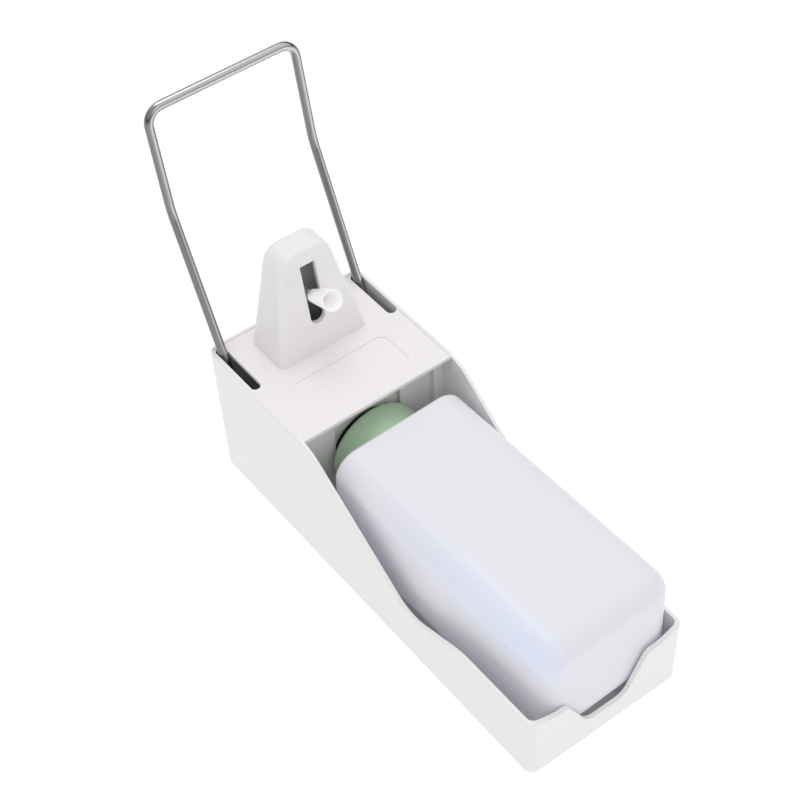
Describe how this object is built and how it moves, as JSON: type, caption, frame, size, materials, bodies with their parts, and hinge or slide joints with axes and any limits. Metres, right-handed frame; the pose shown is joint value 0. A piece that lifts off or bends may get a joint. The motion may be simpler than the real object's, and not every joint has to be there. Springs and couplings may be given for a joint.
{
  "type": "elbow-operated soap dispenser",
  "caption": "Wall soap dispenser with open bottle bay, screw-capped bottle, sloping spout tower and a bent-rod elbow lever that works a hidden piston pump",
  "frame": {"origin": "centre of the housing's flat back face, which lies against the wall", "axes": "X across the width, +Y towards the top end as hung on a wall, +Z away from the wall"},
  "size_m": [0.0982, 0.3024, 0.2215],
  "materials": {
    "housing_plastic": "smooth moulded, satin gloss",
    "plate_plastic": "smooth moulded, matt",
    "screw_steel": "plain stainless",
    "bearing_plastic": "smooth, self-lubricating",
    "lever_steel": "polished stainless rod",
    "yoke_plastic": "smooth moulded, matt",
    "slider_plastic": "smooth moulded",
    "pump_plastic": "natural moulded",
    "spring_steel": "drawn stainless",
    "seal_rubber": "soft, matt",
    "tube_plastic": "translucent, smooth",
    "nozzle_plastic": "milky translucent",
    "bottle_plastic": "frosted translucent, blow moulded",
    "cap_plastic": "smooth moulded, satin"
  },
  "bodies": {
    "base": {"housing": "housing_plastic", "rear_plate": "plate_plastic", "rear_plate_screws": "screw_steel", "lever_bush_right": "bearing_plastic", "lever_bush_left": "bearing_plastic", "pump_slider": "slider_plastic", "splash_washer": "seal_rubber", "pump_cylinder": "pump_plastic", "pump_screws": "screw_steel", "inlet_ball": "spring_steel", "ball_cage": "pump_plastic", "return_spring": "spring_steel", "guide_bush": "pump_plastic", "suction_tube": "tube_plastic", "bottle": "bottle_plastic", "bottle_cap": "cap_plastic", "neck_gasket": "seal_rubber", "cap_grommet": "seal_rubber"},
    "lever": {"lever_bail": "lever_steel", "press_yoke": "yoke_plastic", "yoke_clamp_right": "yoke_plastic", "yoke_clamp_left": "yoke_plastic", "yoke_screws": "screw_steel"},
    "pump": {"pump_head": "pump_plastic", "piston_rod": "pump_plastic", "piston": "pump_plastic", "piston_ring": "seal_rubber", "outlet_ball": "spring_steel", "spout_tube": "tube_plastic", "spout_nozzle": "nozzle_plastic"}
  },
  "joints": [
    {"name": "lever_press", "type": "hinge", "parent": "base", "child": "lever", "pos_m": [0, 0.09475, 0.015], "axis": [1, 0, 0], "range_deg": [0, 21]},
    {"name": "pump_stroke", "type": "slide", "parent": "base", "child": "pump", "axis": [0, -1, 0], "range_m": [0, 0.0105], "stiffness_N_per_m": 800, "springref_m": -0.012, "deforming": ["return_spring"]}
  ],
  "couplings": [
    {"joint": "pump_stroke", "follows": "lever_press", "m_per_rad": 0.0286}
  ]
}
